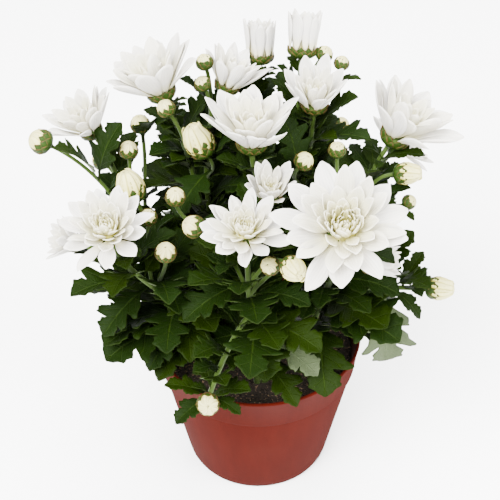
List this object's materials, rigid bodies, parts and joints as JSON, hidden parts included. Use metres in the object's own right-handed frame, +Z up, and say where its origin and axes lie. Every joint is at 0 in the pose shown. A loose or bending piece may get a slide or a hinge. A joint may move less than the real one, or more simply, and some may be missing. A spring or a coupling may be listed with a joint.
{
  "type": "pot chrysanthemum",
  "caption": "Potted chrysanthemum: leafy stems with white daisy-like double blooms and buds, in a plastic nursery pot filled with soil.",
  "frame": {"origin": "middle of the underside of the pot's foot, on the surface that the pot stands on", "axes": "+Z up along the pot's axis, -Y towards the plant's fullest side, +X to the right of it"},
  "size_m": [0.2234, 0.2123, 0.2771],
  "materials": {
    "terracotta_plastic": "satin moulded",
    "peat": "crumbly potting soil",
    "foliage": "living leaf, satin",
    "petal_white": "living petal, matt"
  },
  "bodies": {
    "root": {"back_left_bloom_1": "petal_white", "back_left_bloom_2": "petal_white", "back_left_bloom_3": "petal_white", "back_left_bloom_4": "petal_white", "back_left_bud_1": "petal_white", "back_left_bud_2": "petal_white", "back_left_bud_3": "petal_white", "back_left_bud_4": "petal_white", "back_left_leafy_stem": "foliage", "back_right_bloom_1": "petal_white", "back_right_bloom_2": "petal_white", "back_right_bloom_3": "petal_white", "back_right_bloom_4": "petal_white", "back_right_bud_1": "petal_white", "back_right_bud_2": "petal_white", "back_right_bud_3": "petal_white", "back_right_bud_4": "petal_white", "back_right_leafy_stem": "foliage", "front_bloom_1": "petal_white", "front_bloom_2": "petal_white", "front_bud_1": "petal_white", "front_bud_2": "petal_white", "front_bud_3": "petal_white", "front_bud_4": "petal_white", "front_bud_5": "petal_white", "front_leafy_stem": "foliage", "left_bloom_1": "petal_white", "left_bloom_2": "petal_white", "left_bloom_3": "petal_white", "left_bud_1": "petal_white", "left_bud_2": "petal_white", "left_bud_3": "petal_white", "left_bud_4": "petal_white", "left_bud_5": "petal_white", "left_bud_6": "petal_white", "left_bud_7": "petal_white", "left_leafy_stem": "foliage", "pot": "terracotta_plastic", "right_bloom_1": "petal_white", "right_bloom_2": "petal_white", "right_bloom_3": "petal_white", "right_bloom_4": "petal_white", "right_bud_1": "petal_white", "right_bud_2": "petal_white", "right_bud_3": "petal_white", "right_bud_4": "petal_white", "right_leafy_stem": "foliage", "soil": "peat"}
  },
  "joints": []
}
